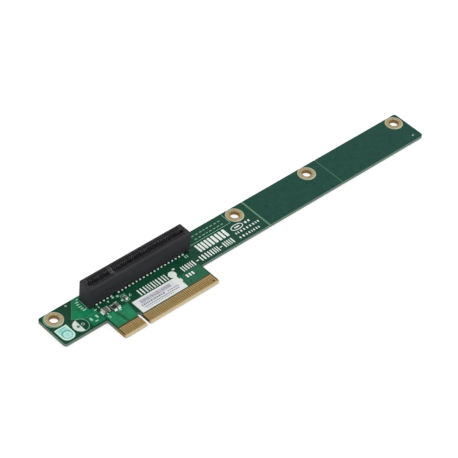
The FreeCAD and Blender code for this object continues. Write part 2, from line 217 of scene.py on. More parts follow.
# Single marks: the middle's place, the full length and the full width
DASHES = ((40.3, 15.1, 1.2, 0.6), (54.0, 15.1, 1.2, 0.6))
LONE_MARKS = ((28.5, 17.6, 1.4, 0.8), (27.2, 10.8, 0.7, 1.9), (67.75, 20.1, 3.0, 0.7))
SLOT_COLUMN = (
    (-15.1, 29.1, 1.0, 0.5),
    (-16.2, 27.8, 1.6, 0.6),
    (-16.6, 26.5, 1.5, 0.6),
    (-16.6, 25.1, 1.6, 0.6),
    (-16.5, 23.8, 1.5, 0.6),
    (-16.2, 22.6, 1.9, 0.6),
)
CHIP_MARKS = (
    (-10.7, 20.0, 0.5, 1.1),
    (-12.8, 19.7, 1.4, 0.5),
    (-5.6, 20.1, 0.7, 0.9),
    (-2.5, 20.7, 1.1, 0.8),
    (-0.5, 20.1, 0.6, 1.0),
    (3.6, 21.9, 0.6, 0.8),
    (4.4, 17.5, 0.5, 1.5),
    (-10.1, 14.9, 0.5, 1.2),
    (-10.7, 13.4, 0.8, 0.5),
    (-10.5, 12.6, 0.8, 0.5),
    (-4.4, 13.4, 1.2, 0.5),
    (-16.2, 14.6, 1.6, 0.5),
    (4.2, 17.2, 1.2, 0.6),
)
SLOT_END_MARKS = ((37.5, 20.0, 0.4, 1.7), (38.6, 20.0, 0.4, 1.7), (41.0, 21.8, 1.8, 0.4))
LONG_LINES = (
    (55.5, 23.8, 23.8, FINE_LINE),
    (67.35, 26.8, FINE_LINE, 6.2),
    (-14.6, 25.2, FINE_LINE, 5.8),
    (-12.9, 22.35, 3.1, FINE_LINE),
)

# Outlines and discs: the middle's place and the half sizes or radius
DISC_PLACE = (26.1, 15.4)
DISC_RADIUS = 1.95
OVAL_PLACE = (67.75, 20.1)
OVAL_HALVES = (3.35, 1.65)
BOX_PLACE = (1.5, 17.5)
BOX_HALVES = (1.35, 2.2)
EYELET_CIRCLE = (-30.15, 26.0)
EYELET_OUTLINE = 4.4
LEAD_OUTLINE = 3.75
LEAD_OPENING = 0.85
HALF_DISC_POINTS = 64
HALF_DISC_INSET = 0.05
HALF_DISC_FROM_MIDDLE = 0.1

# Inspection sticker, from its left front corner
SEAL_RING_PLACE = (3.25, 2.95)
SEAL_RING = 2.2
SEAL_INNER_RING = 0.9
SEAL_SPOT = 0.5
SEAL_BORDER = 0.6
SEAL_END_BORDER = 0.55
SEAL_DASHES = ((3.5, 6.85, 2.4, 0.35), (2.0, 6.3, 1.9, 0.35))

# Camera: place and clipping in metres, angles in degrees, lens and sensor in mm
CAMERA_PLACE = (-0.430796, -0.451120, 0.648297)
CAMERA_AZIMUTH = 46.3393
CAMERA_ELEVATION = 43.4246
CAMERA_ROLL = 5.6102
CAMERA_LENS = 170.24
SENSOR = 36.0
CAMERA_CLIP = (0.05, 20.0)

# Stage, in metres: each lamp's place, size and power in watts, where the lamps aim,
# the light all round, and the floor
LAMPS = {
    "key_lamp": ((-0.75, -0.55, 1.25), 1.0, 7.0),
    "side_lamp": ((0.95, -0.6, 1.15), 1.1, 5.5),
}
LAMP_AIM = (0.07, 0.02, 0.0)
WHITE = (1.0, 1.0, 1.0, 1.0)
SOFT_LIGHT = 0.56
FLOOR_LEVEL = -0.00212
FLOOR_HALF = 3.0
FLOOR_LINES = 5
FLOOR_GLOW = 0.78
FLOOR_TONE = (0.9, 0.9, 0.9, 1.0)
FLOOR_SHADOW_TONE = (0.34, 0.34, 0.34, 1.0)


def srgb(red, green, blue):
    """Linear colour of a screen colour given as three numbers up to 255."""
    share = np.array([red, green, blue]) / 255
    linear = np.where(share <= 0.04045, share / 12.92, ((share + 0.055) / 1.055) ** 2.4)
    return (*linear.tolist(), 1.0)


class Wire:
    """A socket in a material; arithmetic on it adds Math nodes."""

    def __init__(self, paint, socket):
        self.paint = paint
        self.socket = socket

    def math(self, operation, first, second=0.0):
        inputs = {0: first, 1: second}
        return self.paint.node("ShaderNodeMath", {"operation": operation}, inputs)

    def __add__(self, other):
        return self.math("ADD", self, other)

    def __radd__(self, other):
        return self.math("ADD", other, self)

    def __sub__(self, other):
        return self.math("SUBTRACT", self, other)

    def __rsub__(self, other):
        return self.math("SUBTRACT", other, self)

    def __mul__(self, other):
        return self.math("MULTIPLY", self, other)

    def __rmul__(self, other):
        return self.math("MULTIPLY", other, self)

    def __abs__(self):
        return self.math("ABSOLUTE", self)

    def power(self, exponent):
        return self.math("POWER", self, exponent)

    def sine(self):
        return self.math("SINE", self)

    def at_most(self, other):
        return self.math("MINIMUM", self, other)

    def at_least(self, other):
        return self.math("MAXIMUM", self, other)

    def past(self, edge, soft):
        """0 before the edge and 1 after it, over a soft width."""
        settings = {"interpolation_type": "SMOOTHSTEP", "clamp": True}
        inputs = {0: self, 1: edge - soft / 2, 2: edge + soft / 2}
        return self.paint.node("ShaderNodeMapRange", settings, inputs)

    def within(self, low, high, soft):
        """1 between two edges and 0 outside them, over a soft width."""
        return self.past(low, soft) * (1 - self.past(high, soft))


class Paint:
    """The emptied node tree of a material or world, and ways to add nodes to it."""

    def __init__(self, owner):
        self.owner = owner
        owner.use_nodes = True
        self.tree = owner.node_tree
        self.tree.nodes.clear()

    def node(self, kind, settings=None, inputs=None, output=0):
        """Adds a node: its settings first, then values or links of its sockets."""
        made = self.tree.nodes.new(kind)
        for name, value in (settings or {}).items():
            setattr(made, name, value)
        for key, value in (inputs or {}).items():
            if isinstance(value, Wire):
                self.tree.links.new(value.socket, made.inputs[key])
            else:
                made.inputs[key].default_value = value
        return Wire(self, made.outputs[output])

    def mix(self, share, first, second):
        """The first colour, turned into the second by a share from 0 to 1."""
        inputs = {0: share, 6: first, 7: second}
        return self.node("ShaderNodeMix", {"data_type": "RGBA"}, inputs, 2)

    def stretched(self, x, y, z):
        """The place in millimetres, scaled along each axis for a drawn-out pattern."""
        inputs = {0: self.place, 1: (x, y, z)}
        return self.node("ShaderNodeVectorMath", {"operation": "MULTIPLY"}, inputs)

    def noise(self, scale, detail=3.0, place=None):
        """Noise from 0 to 1; scale is in waves per millimetre."""
        inputs = {"Vector": place or self.place, "Scale": scale, "Detail": detail}
        return self.node("ShaderNodeTexNoise", None, inputs)

    def inside(self, area, soft_x, soft_y):
        """1 inside an upright rectangle: its left, right, front and back edges."""
        left, right, front, back = area
        return self.x.within(left, right, soft_x) * self.y.within(front, back, soft_y)

    def from_point(self, x, y):
        """Distance from a point, seen from above."""
        return ((self.x - x).power(2.0) + (self.y - y).power(2.0)).power(0.5)

    def facing(self):
        """How far the surface faces up or down, from 0 to 1."""
        normal = self.node("ShaderNodeNewGeometry", output="Normal")
        return abs(self.node("ShaderNodeSeparateXYZ", None, {0: normal}, 2))

    def bump(self, height, depth, strength):
        """A normal tilted by a height from 0 to 1, which stands for a depth."""
        inputs = {"Height": height, "Distance": depth * MM, "Strength": strength}
        return self.node("ShaderNodeBump", None, inputs)

    def surface(self, **sockets):
        """The finished material, from the named sockets of its shader."""
        named = {name.replace("_", " "): value for name, value in sockets.items()}
        shader = self.node("ShaderNodeBsdfPrincipled", None, named)
        self.finished(shader)
        return self.owner

    def finished(self, shader, kind="ShaderNodeOutputMaterial"):
        """Ends the tree with its output."""
        made = self.tree.nodes.new(kind)
        self.tree.links.new(shader.socket, made.inputs["Surface"])


def new_paint(name):
    """A new material's paint, with its Object coordinates in millimetres."""
    paint = Paint(bpy.data.materials.new(name))
    metres = paint.node("ShaderNodeTexCoord", output="Object")
    settings = {"operation": "SCALE"}
    paint.place = paint.node("ShaderNodeVectorMath", settings, {0: metres, 3: 1 / MM})
    axes = [paint.node("ShaderNodeSeparateXYZ", None, {0: paint.place}, i) for i in range(3)]
    paint.x, paint.y, paint.z = axes
    return paint


# Materials


def left_copper(p):
    """The copper area left of the card slot, as a mask: right of a steep line, behind
    a foot that is level and then climbs to the left."""
    corner_x, corner_y = LEFT_COPPER_CORNER
    bend_x, bend_y = LEFT_COPPER_BEND
    slope = (p.y - corner_y) - LEFT_COPPER_SLOPE * (p.x - corner_x)
    foot = (bend_y - LEFT_COPPER_CLIMB * (p.x - bend_x)).at_least(bend_y)
    inside = (1 - slope.past(0.0, 0.3)) * (p.y - foot).past(0.0, 0.3)
    return inside * (1 - p.x.past(LEFT_COPPER_END, 0.3))


def tongue_copper(p):
    """The copper area at the tongue's left end, as a mask: its right side leans left
    towards the tip, and a darker parting through it leans right."""
    left, right, front, back = TONGUE_COPPER
    forward = LEAN_START - p.y
    leaning_side = p.x + TONGUE_COPPER_LEAN * forward
    inside = p.x.past(left, 0.6) * (1 - leaning_side.past(right, 0.8))
    inside = inside * p.y.within(front, back, 1.0)
    parting = (p.x - COPPER_PARTING_LEAN * forward).within(*COPPER_PARTING, 0.6)
    return inside * (1 - 0.75 * parting)


def groove_tint(p, tint):
    """The paler floors of the two break-off grooves."""
    near_groove = 1 - abs(p.x - NEAR_GROOVE).past(GROOVE_REACH, 0.08)
    far_groove = 1 - abs(p.x - FAR_GROOVE).past(GROOVE_REACH * 0.6, 0.2)
    tint = p.mix(near_groove, tint, srgb(116, 160, 132))
    return p.mix(far_groove, tint, srgb(92, 144, 118))


def tongue_tint(p, tint, bare, bevel, upper):
    """Bare laminate between the fingers, the mask's ragged foot and its painted shadow line, and
    the worn bevel.
    """
    tint = p.mix(bare, tint, srgb(88, 76, 44))
    ragged = (1 - p.y.past(BARE_TONGUE + 0.7, 1.2)) * (p.x * TRACK_TURN).sine().past(0.0, 1.4)
    tint = p.mix(ragged * upper * 0.55, tint, srgb(112, 110, 66))
    # Painted shadow: a dark olive line along the foot of the solder mask.
    foot_shadow_line = p.y.within(BARE_TONGUE - 0.2, BARE_TONGUE + 0.35, 0.1)
    tint = p.mix(foot_shadow_line * 0.8, tint, srgb(52, 50, 30))
    worn = p.noise(1.2, 3.0).past(0.5, 0.6)
    bevel_tint = p.mix(worn, srgb(160, 132, 84), srgb(176, 150, 104))
    bevel_tint = p.mix(1 - p.y.past(TIP_WEAR_END, 0.8), bevel_tint, srgb(208, 194, 162))
    return p.mix(bevel, tint, bevel_tint)


def laminate_tint(p, bare):
    """The board's cut sides: pale layers of glass cloth, browner round the tongue."""
    layers = (p.z * LAYER_TURN).sine().past(0.0, 1.2)
    laminate = p.mix(layers, srgb(88, 116, 102), srgb(114, 140, 124))
    laminate = p.mix(p.noise(3.0, 3.0).past(0.5, 0.5) * 0.4, laminate, srgb(138, 154, 138))
    end_tint = p.mix(p.x.past(TONGUE_SIDE, 0.4), srgb(158, 128, 80), srgb(92, 82, 52))
    return p.mix(bare, laminate, end_tint)


def mask_finish():
    """Green solder mask over copper areas, tracks and bare laminate edges."""
    p = new_paint("solder_mask_finish")
    upper = p.z.past(0.0, 0.2)
    cloud = p.noise(0.45, 4.0)
    streaks = p.noise(1.0, 2.0, p.stretched(0.9, 0.1, 1.0)).past(0.5, 0.12)
    left_area = left_copper(p)
    front_area = tongue_copper(p)
    inner_area = p.inside(INNER_COPPER, 1.0, 0.8)
    copper = left_area.at_least(front_area * (1 - 0.25 * streaks)).at_least(inner_area * 0.8)
    right_area = p.x.within(*RIGHT_COPPER_SIDES, 1.0) * (1 - p.y.past(RIGHT_COPPER_BACK, 1.5))
    tint = p.mix(p.x.past(*ARM_SHADE), srgb(10, 64, 44), srgb(20, 70, 54))
    tint = p.mix(p.x.past(*FAR_ARM_SHADE), tint, srgb(24, 72, 61))
    tint = p.mix(right_area * 0.85, tint, srgb(44, 108, 78))
    tint = p.mix(copper * upper, tint, srgb(22, 131, 85))
    tint = p.mix(front_area * upper * 0.3, tint, srgb(64, 164, 116))
    outline = left_area.within(0.2, 0.8, 0.2)
    tint = p.mix(outline * upper * 0.7, tint, srgb(128, 190, 160))
    tracks = (p.x * TRACK_TURN).sine().past(0.35, 0.7)
    near_slot = p.inside(TRACKED_AREA, 2.0, 1.0)
    tint = p.mix(tracks * near_slot * 0.14, tint, srgb(60, 140, 105))
    tint = p.mix(cloud.past(0.56, 0.3) * 0.26, tint, srgb(3, 38, 27))
    tint = p.mix(p.noise(2.4, 2.0).past(0.6, 0.16) * 0.14, tint, srgb(66, 132, 102))
    fringe = abs(p.y - STRIP_MIDDLE).past(STRIP_WIDTH / 2 - 0.3, 0.3)
    fringe = fringe * p.y.past(STRIP_FRONT, 0.1)
    tint = p.mix(fringe * 0.35, tint, srgb(30, 50, 42))
    spot = 1 - p.from_point(*DARK_SPOT).past(DARK_SPOT_RADIUS, 0.8)
    tint = p.mix(spot * 0.6, tint, srgb(12, 44, 30))
    tint = groove_tint(p, tint)
    bare = 1 - p.y.past(BARE_TONGUE, 0.1)
    bevel = 1 - p.y.past(BEVEL_END, 0.06)
    tint = tongue_tint(p, tint, bare, bevel, upper)
    side = 1 - p.facing().past(0.5, 0.2)
    tint = p.mix(side * (1 - bevel), tint, laminate_tint(p, bare))
    weave = (p.x * WEAVE_TURN).sine() * (p.y * WEAVE_TURN).sine()
    relief = tracks * near_slot * 0.6 + copper * upper * 0.8 + weave * 0.08 + cloud * 0.1
    return p.surface(
        Base_Color=tint,
        Roughness=0.36 + 0.25 * side + 0.2 * bare + 0.08 * cloud,
        Specular_IOR_Level=0.12,
        Normal=p.bump(relief, 0.03, 0.5),
    )


def housing_finish():
    """Matt black moulded plastic with a fine spark-eroded grain."""
    p = new_paint("housing_finish")
    grain = p.noise(9.0, 2.0)
    flow = p.noise(0.3, 3.0, p.stretched(0.15, 1.0, 1.0))
    tint = p.mix(flow.past(0.5, 0.6), srgb(39, 39, 43), srgb(49, 48, 52))
    tint = p.mix(grain.past(0.62, 0.1) * 0.35, tint, srgb(70, 69, 74))
    ends = (PLACES[0] - MOUTH_PAST_PLACES, PLACES[-1] + MOUTH_PAST_PLACES)
    sides = (SLOT_Y - MOUTH_HALF_WIDTH, SLOT_Y + MOUTH_HALF_WIDTH)
    in_mouth = p.inside(ends + sides, 0.2, 0.2) * (1 - p.z.past(SLOT_TOP - 0.1, 0.1))
    speckle = p.noise(1.6, 2.0, p.stretched(1.0, 0.5, 0.6)).past(0.5, 0.2)
    tint = p.mix(in_mouth * speckle * 0.8, tint, srgb(92, 91, 96))
    return p.surface(
        Base_Color=tint,
        Roughness=0.5 + 0.16 * grain,
        Specular_IOR_Level=0.2,
        Normal=p.bump(grain, 0.02, 0.5),
    )


def gold_finish():
    """Plated fingers, rubbed lengthways, with warm and pale patches."""
    p = new_paint("gold_finish")
    rub = p.noise(1.4, 4.0, p.stretched(5.0, 0.25, 1.0))
    patch = p.noise(0.35, 2.0)
    tint = p.mix(patch.past(0.52, 0.2), srgb(164, 138, 88), srgb(168, 130, 78))
    tint = p.mix(rub.past(0.58, 0.2) * 0.5, tint, srgb(198, 174, 124))
    tint = p.mix(p.y.past(GOLD_DULLS_FROM, 1.0) * 0.45, tint, srgb(176, 164, 126))
    tint = p.mix(p.y.past(GOLD_STAINS_FROM + 0.4 * rub, 0.4) * 0.75, tint, srgb(92, 84, 54))
    return p.surface(
        Base_Color=tint,
        Metallic=0.75,
        Roughness=0.34 + 0.2 * rub,
        Normal=p.bump(rub, 0.006, 0.5),
    )


def ring_finish():
    """Plated eyelets: dull pale gold, with painted shade where the bore begins."""
    p = new_paint("ring_finish")
    near = p.from_point(*EYELET_PLACES[0])
    for x, y in EYELET_PLACES[1:]:
        near = near.at_most(p.from_point(x, y))
    stain = p.noise(0.7, 4.0)
    tint = p.mix(stain.past(0.5, 0.3), srgb(178, 170, 134), srgb(164, 152, 116))
    # Painted shade: a brown darkening over the bore and its lip, near each eyelet's centre.
    tint = p.mix(1 - near.past(EYELET_SHADE_REACH, 0.9), tint, srgb(138, 106, 62))
    tint = p.mix(near.within(*EYELET_STEP, 0.2) * 0.45, tint, srgb(128, 108, 70))
    tint = p.mix(near.past(EYELET_STEP[1], 0.3) * 0.8, tint, srgb(182, 182, 154))
    rings = (near * RING_TURN).sine()
    return p.surface(
        Base_Color=tint,
        Metallic=0.6,
        Roughness=0.42 + 0.16 * stain,
        Normal=p.bump(stain + 0.1 * rings, 0.02, 0.4),
    )


def contact_finish():
    """Spring contacts: tinned tails, and a dull metal up inside the slot darkened as painted
    shade.
    """
    p = new_paint("contact_finish")
    wear = p.noise(2.5, 3.0, p.stretched(1.0, 1.0, 0.3))
    # Painted shade: above this height the contacts turn dark grey-brown, standing for the shade
    # inside the slot.
    inside = p.z.past(TAILS_SHADED_FROM, 0.2)
    tint = p.mix(inside, srgb(206, 216, 210), srgb(74, 71, 68))
    tint = p.mix(wear.past(0.58, 0.2) * 0.4, tint, srgb(84, 80, 70))
    return p.surface(
        Base_Color=tint,
        Metallic=0.85,
        Roughness=0.26 + 0.2 * wear,
        Normal=p.bump(wear, 0.01, 0.4),
    )


def solder_finish(name, full, dull, metallic):
    """Tin solder with a slightly frosted, uneven skin."""
    p = new_paint(name)
    frost = p.noise(4.0, 4.0)
    return p.surface(
        Base_Color=p.mix(frost.past(0.55, 0.4), full, dull),
        Metallic=metallic,
        Roughness=0.34 + 0.25 * frost,
        Normal=p.bump(frost, 0.03, 0.5),
    )


def ceramic_finish():
    """Fired ceramic of the chip capacitors."""
    p = new_paint("ceramic_finish")
    speck = p.noise(6.0, 3.0)
    tint = p.mix(speck.past(0.52, 0.3), srgb(92, 96, 84), srgb(118, 120, 106))
    return p.surface(
        Base_Color=tint,
        Roughness=0.4 + 0.15 * speck,
        Normal=p.bump(speck, 0.01, 0.4),
    )


def glaze_finish():
    """Black glazed top of the chip resistor over a pale ceramic base."""
    p = new_paint("glaze_finish")
    speck = p.noise(5.0, 3.0)
    glaze = p.mix(speck.past(0.55, 0.3), srgb(26, 27, 30), srgb(44, 45, 48))
    base = p.mix(speck, srgb(196, 194, 186), srgb(214, 212, 206))
    return p.surface(
        Base_Color=p.mix(p.z.past(GLAZE_LEVEL, 0.05), base, glaze),
        Roughness=0.28 + 0.2 * speck,
        Normal=p.bump(speck, 0.01, 0.4),
    )


def paper_finish():
    """White label film, faintly lilac, with a paler rim and paper fibre."""
    p = new_paint("paper_finish")
    (left, front, _), (right, back, _) = node_box("barcode_label")
    at_left, at_right, at_front, at_back = LABEL_RIM
    middle = (left + at_left, right - at_right, front + at_front, back - at_back)
    inner = p.inside(middle, 0.8, 0.5)
    fibre = p.noise(3.0, 4.0)
    tint = p.mix(inner, srgb(238, 245, 240), srgb(232, 233, 240))
    tint = p.mix(fibre.past(0.55, 0.3) * 0.3, tint, srgb(206, 208, 214))
    return p.surface(
        Base_Color=tint,
        Roughness=0.42 + 0.2 * fibre,
        Specular_IOR_Level=0.3,
        Normal=p.bump(fibre, 0.012, 0.4),
    )


def seal_finish():
    """Pale blue-green film with a lighter border and a printed ring; the distance
    from the middle line of the round-ended film finds the border."""
    p = new_paint("seal_finish")
    (left, front, _), (right, back, _) = node_box("inspection_sticker")
    half_width = (right - left) / 2
    ring_y = front + SEAL_RING_PLACE[1]
    reach = p.from_point(left + SEAL_RING_PLACE[0], ring_y)
    sheen = p.noise(0.9, 3.0)
    beyond = (p.y - (front + half_width)).at_most(0.0)
    from_spine = ((p.x - (left + right) / 2).power(2.0) + beyond.power(2.0)).power(0.5)
    end_border = p.y.past(back - SEAL_END_BORDER, 0.3)
    border = from_spine.past(half_width - SEAL_BORDER, 0.3).at_least(end_border)
    tint = p.mix(sheen.past(0.5, 0.4), srgb(172, 230, 220), srgb(150, 212, 202))
    ring = reach.within(SEAL_RING - 0.3, SEAL_RING + 0.35, 0.35)
    far_side = p.y.past(ring_y + 0.6, 2.5)
    tint = p.mix(ring * (0.45 + 0.5 * far_side), tint, srgb(88, 156, 146))
    between = reach.within(SEAL_INNER_RING, SEAL_RING - 0.4, 0.5)
    tint = p.mix(between * 0.5, tint, srgb(204, 252, 244))
    tint = p.mix((1 - reach.past(SEAL_SPOT, 0.5)) * 0.4, tint, srgb(136, 198, 190))
    tint = p.mix(border, tint, srgb(214, 246, 234))
    return p.surface(
        Base_Color=tint,
        Roughness=0.3 + 0.15 * sheen,
        Specular_IOR_Level=0.35,
        Normal=p.bump(sheen, 0.02, 0.4),
    )


def ink_finish(name, full, thin):
    """Screen-printed ink with pinholes and uneven cover."""
    p = new_paint(name)
    cover = p.noise(3.2, 4.0)
    tint = p.mix(cover.past(0.6, 0.25), full, thin)
    return p.surface(
        Base_Color=tint,
        Roughness=0.5 + 0.2 * cover,
        Specular_IOR_Level=0.2,
        Normal=p.bump(cover, 0.01, 0.4),
    )


# Shapes


def swept_quads(copies, rings, around, looped):
    """Faces of copies of a stack of rings: point k of ring j joins point k + 1 of
    its ring and the same two points of ring j + 1; looped joins last to first."""
    copy = np.arange(copies)[:, None, None] * rings * around
    ring = np.arange(rings if looped else rings - 1)[None, :, None]
    k = np.arange(around)[None, None, :]
    after = (k + 1) % around
    low = copy + ring * around
    high = copy + (ring + 1) % rings * around
    return np.stack([low + k, low + after, high + after, high + k], axis=-1).reshape(-1, 4)


def end_caps(copies, rings, around):
    """One face over the last ring of each copy, and one under the first."""
    first = np.arange(copies)[:, None] * rings * around + np.arange(around)[None, :]
    last = first + (rings - 1) * around
    return last.tolist() + first[:, ::-1].tolist()


def turned(around):
    """Cosine and sine of evenly spaced turns, half a step from zero."""
    turn = (np.arange(around) + 0.5) * 2 * math.pi / around
    return np.stack([np.cos(turn), np.sin(turn)], axis=-1)


def outlines(centres, halves, power, around):
    """Closed superellipse outlines: the cosine and sine of the turn, each raised to
    2 / power with its sign kept, times the half sizes, about each centre."""
    unit = turned(around)
    shape = np.sign(unit) * np.abs(unit) ** (2 / power)
    return np.asarray(centres, float)[:, None, :] + shape * np.asarray(halves, float)[:, None, :]


def stacked(rims, levels):
    """Points of copies of rings: ring j of each copy is its outline j at level j."""
    flat = np.stack(rims, axis=1)
    levels = np.asarray(levels, float)[None, :, None, None]
    heights = np.broadcast_to(levels, flat.shape[:3] + (1,))
    return np.concatenate([flat, heights], axis=-1).reshape(-1, 3)


def piece(name, points, faces, material, smooth=False):
    """Puts computed points (millimetres) and faces into a mesh riding on the board."""
    mesh = bpy.data.meshes.new(name)
    mesh.from_pydata((np.asarray(points) * MM).tolist(), [], faces)
    mesh.polygons.foreach_set("use_smooth", np.full(len(mesh.polygons), smooth))
    mesh.materials.append(material)
    mesh.update()
    made = bpy.data.objects.new(name, mesh)
    bpy.context.scene.collection.objects.link(made)
    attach(made, "root")
    return made


def plates(name, marks, power, ink, around=12, base=TOP):
    """Thin printed marks: each outline raised from base by the ink's thickness."""
    rim = outlines(*marks, power, around)
    points = stacked([rim, rim], [base, base + INK])
    count = len(rim)
    faces = swept_quads(count, 2, around, False).tolist() + end_caps(count, 2, around)
    piece(name, points, faces, ink)


def bands(name, centres, halves, stroke, power, ink, around):
    """Thin printed outlines: the space between an outline and one a stroke inside."""
    halves = np.asarray(halves, float)
    outer = outlines(centres, halves, power, around)
    inner = outlines(centres, halves - stroke, power, around)
    faces = swept_quads(len(outer), 4, around, True).tolist()
    piece(name, ring_points(outer, inner), faces, ink)


def ring_points(outer, inner):
    """The section of a printed ring: up its outer rim, across, and down its inner."""
    return stacked([outer, outer, inner, inner], [TOP, TOP + INK, TOP + INK, TOP])


def revolved(name, places, profile, material, around=8, looped=False):
    """Turned shapes: each profile point (radius, height) carried round each place. A
    looped profile closes on itself, and any other gets a face at both ends."""
    radii, heights = np.asarray(profile, float).T
    count = len(places)
    rims = [outlines(places, np.full((count, 2), r), ROUND, around) for r in radii]
    faces = swept_quads(count, len(radii), around, looped).tolist()
    if not looped:
        faces += end_caps(count, len(radii), around)
    return piece(name, stacked(rims, heights), faces, material, smooth=True)


def row(left, right, y, height, shares, fill):
    """Centres and half sizes of marks side by side, each taking its share of the
    row's length and filling part of it."""
    steps = np.concatenate([[0.0], np.cumsum(shares) / np.sum(shares)])
    ends = left + (right - left) * steps
    middles = (ends[1:] + ends[:-1]) / 2
    halves = np.diff(ends) / 2 * fill
    centres = np.stack([middles, np.full(len(middles), y)], axis=-1)
    return centres, np.stack([halves, np.full(len(halves), height / 2)], axis=-1)


def uneven_row(random, left, right, y, height, count, least, most, fill):
    """A row whose shares of the length are drawn between the least and the most."""
    return row(left, right, y, height, random.uniform(least, most, count), fill)


def decked(marks, gap):
    """Each mark as a lower and an upper block, with a gap at half its height."""
    centres, halves = marks
    height = halves[:, 1] - gap / 2
    parts = []
    for side in (-1, 1):
        shift = side * (halves[:, 1] - height / 2)
        middle = centres + np.stack([np.zeros(len(shift)), shift], axis=-1)
        parts.append((middle, np.stack([halves[:, 0], height / 2], axis=-1)))
    return joined(*parts)


def joined(*groups):
    """Several (centres, half sizes) groups as one."""
    return np.concatenate([g[0] for g in groups]), np.concatenate([g[1] for g in groups])


def single(*marks):
    """Marks given as (x, y, full length, full width)."""
    marks = np.array(marks, float)
    return marks[:, :2], marks[:, 2:] / 2


# Pieces


def eyelets(material):
    """Each eyelet's closed section: flange, rounded rim and bore wall, and the same
    mirrored below the board's middle plane."""
    upper_half = [
        (HOLE_RADIUS, TOP),
        (EYELET_RADIUS, TOP),
        (EYELET_RADIUS - EYELET_EDGE, TOP + PLATING),
        (EYELET_BORE + EYELET_LIP, TOP + PLATING),
        (EYELET_BORE + EYELET_EDGE, TOP + EYELET_EDGE_RISE),
        (EYELET_BORE, TOP - EYELET_LIP_DEPTH),
    ]
    lower_half = [(radius, -height) for radius, height in reversed(upper_half)]
    section = upper_half + lower_half
    made = revolved("plated_eyelets", EYELET_PLACES, section, material, 72, True)
    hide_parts("mounting_rings")
    made.modifiers.new("creases", "EDGE_SPLIT").split_angle = math.radians(CREASE_DEGREES)


def tail_places():
    """Where the slot's tails pass the board: the two rows of each side in turn."""
    odd, even = PLACES[0::2], PLACES[1::2]
    rows = ((even, -OUTER_ROW), (odd, -INNER_ROW), (even, INNER_ROW), (odd, OUTER_ROW))
    return np.concatenate([np.stack([x, np.full(len(x), SLOT_Y + y)], axis=-1) for x, y in rows])


def solder_joints(material):
    """Fillets round every tail, hollow-sided cones above and below the board."""
    spots = tail_places()
    below = [(0.2, BOTTOM - 0.62), (0.3, BOTTOM - 0.36), (0.46, BOTTOM - 0.1), (0.56, BOTTOM)]
    above = [(0.5, TOP), (0.5, TOP + 0.16), (0.42, TOP + 0.36), (0.24, TOP + 0.5)]
    revolved("tail_solder_below", spots, below, material)
    revolved("tail_solder_above", spots, above, material)


def chip_fillets(material):
    """Solder wedges at the ends of each chip: height falls from the chip's end as
    the square of the distance left to the pad's edge."""
    share = np.linspace(0, 1, WEDGE_STEPS)
    spread = np.linspace(-1, 1, WEDGE_LINES)[:, None]
    points, faces = [], []
    for chip in CHIPS:
        low, high = np.array(node_box(chip + "_terminals"))
        centre = (low + high) / 2
        size = high - low
        along_x = size[0] > size[1]
        length, width = size[:2] if along_x else size[1::-1]
        pad_top = low[2]
        for side in (-1, 1):
            out = length / 2 + SOLDER_BEYOND_CHIP * share
            up = pad_top + SOLDER_CLIMB * size[2] * (1 - share) ** 2
            wide = spread * width * (SOLDER_HALF_WIDTH - SOLDER_NARROWING * share)
            along = np.broadcast_to(side * out, wide.shape)
            rise = np.broadcast_to(up, wide.shape).copy()
            rise[[0, -1]] = pad_top + (rise[[0, -1]] - pad_top) * SOLDER_SIDE_CLIMB
            flat = np.full(wide.shape, pad_top)
            x, y = (along, wide * side) if along_x else (-wide * side, along)
            base = sum(len(group) for group in points)
            for level in (rise, flat):
                shape = [x + centre[0], y + centre[1], level]
                points.append(np.stack(shape, axis=-1).reshape(-1, 3))
            faces.append(wedge_faces(base))
    points = np.concatenate(points)
    faces = np.concatenate(faces).tolist()
    piece("chip_solder", points, faces, material, smooth=True)


def wedge_faces(base):
    """Quads over a grid, the same grid below turned over, and the rim between."""
    drop = WEDGE_LINES * WEDGE_STEPS
    grid = np.arange(drop).reshape(WEDGE_LINES, WEDGE_STEPS) + base
    upper = grid_quads(grid)
    lower = grid_quads(grid + drop)[:, ::-1]
    rim = np.concatenate([grid[0, :], grid[1:, -1], grid[-1, -2::-1], grid[-2:0:-1, 0]])
    after = np.roll(rim, -1)
    wall = np.stack([rim, rim + drop, after + drop, after], axis=-1)
    return np.concatenate([upper, lower, wall])


def grid_quads(grid):
    """Quads over a grid of point numbers, each from a point to its next neighbours."""
    corners = [grid[:-1, :-1], grid[:-1, 1:], grid[1:, 1:], grid[1:, :-1]]
    return np.stack(corners, axis=-1).reshape(-1, 4)


def board_print(ink, pale, faint, random):
    """Plain marks where the board is printed: bars, blocks, rings and dots."""
    bars = joined(*(uneven_row(random, *place) for place in BAR_ROWS), single(*DASHES))
    plates("print_bars", bars, CRISP, ink, around=16)
    small = joined(
        row(*BLOCK_ROW),
        *(uneven_row(random, *place) for place in FINE_ROWS),
        row(*PAIR_ROW),
        single(*LONE_MARKS),
    )
    plates("print_small_marks", small, SOFT, ink)
    plates("print_part_marks", single(*SLOT_COLUMN, *CHIP_MARKS, *SLOT_END_MARKS), SOFT, pale)
    plates("print_lines", single(*LONG_LINES), SQUARE, faint, around=16)
    thin = decked(row(*THIN_ROW), THIN_GAP)
    plates("print_thin_marks", thin, CRISP, faint, around=16)
    disc = ([DISC_PLACE], [(DISC_RADIUS, DISC_RADIUS)])
    plates("print_disc", disc, ROUND, ink, around=40)
    bands("print_oval", [OVAL_PLACE], [OVAL_HALVES], OVAL_LINE, OVAL, ink, around=48)
    circles = [lead_rings()[:2], EYELET_CIRCLE]
    sizes = [(LEAD_OUTLINE, LEAD_OUTLINE), (EYELET_OUTLINE, EYELET_OUTLINE)]
    bands("print_circles", circles, sizes, FINE_LINE, ROUND, faint, around=64)
    bands("print_chip_outline", [BOX_PLACE], [BOX_HALVES], BOX_LINE, BOXY, faint, around=32)


def lead_rings():
    """Middle of the two spare lead rings, and the distance between their centres."""
    (left, front, _), (right, back, _) = node_box("spare_lead_rings")
    return (left + right) / 2, (front + back) / 2, (right - left) - (back - front)


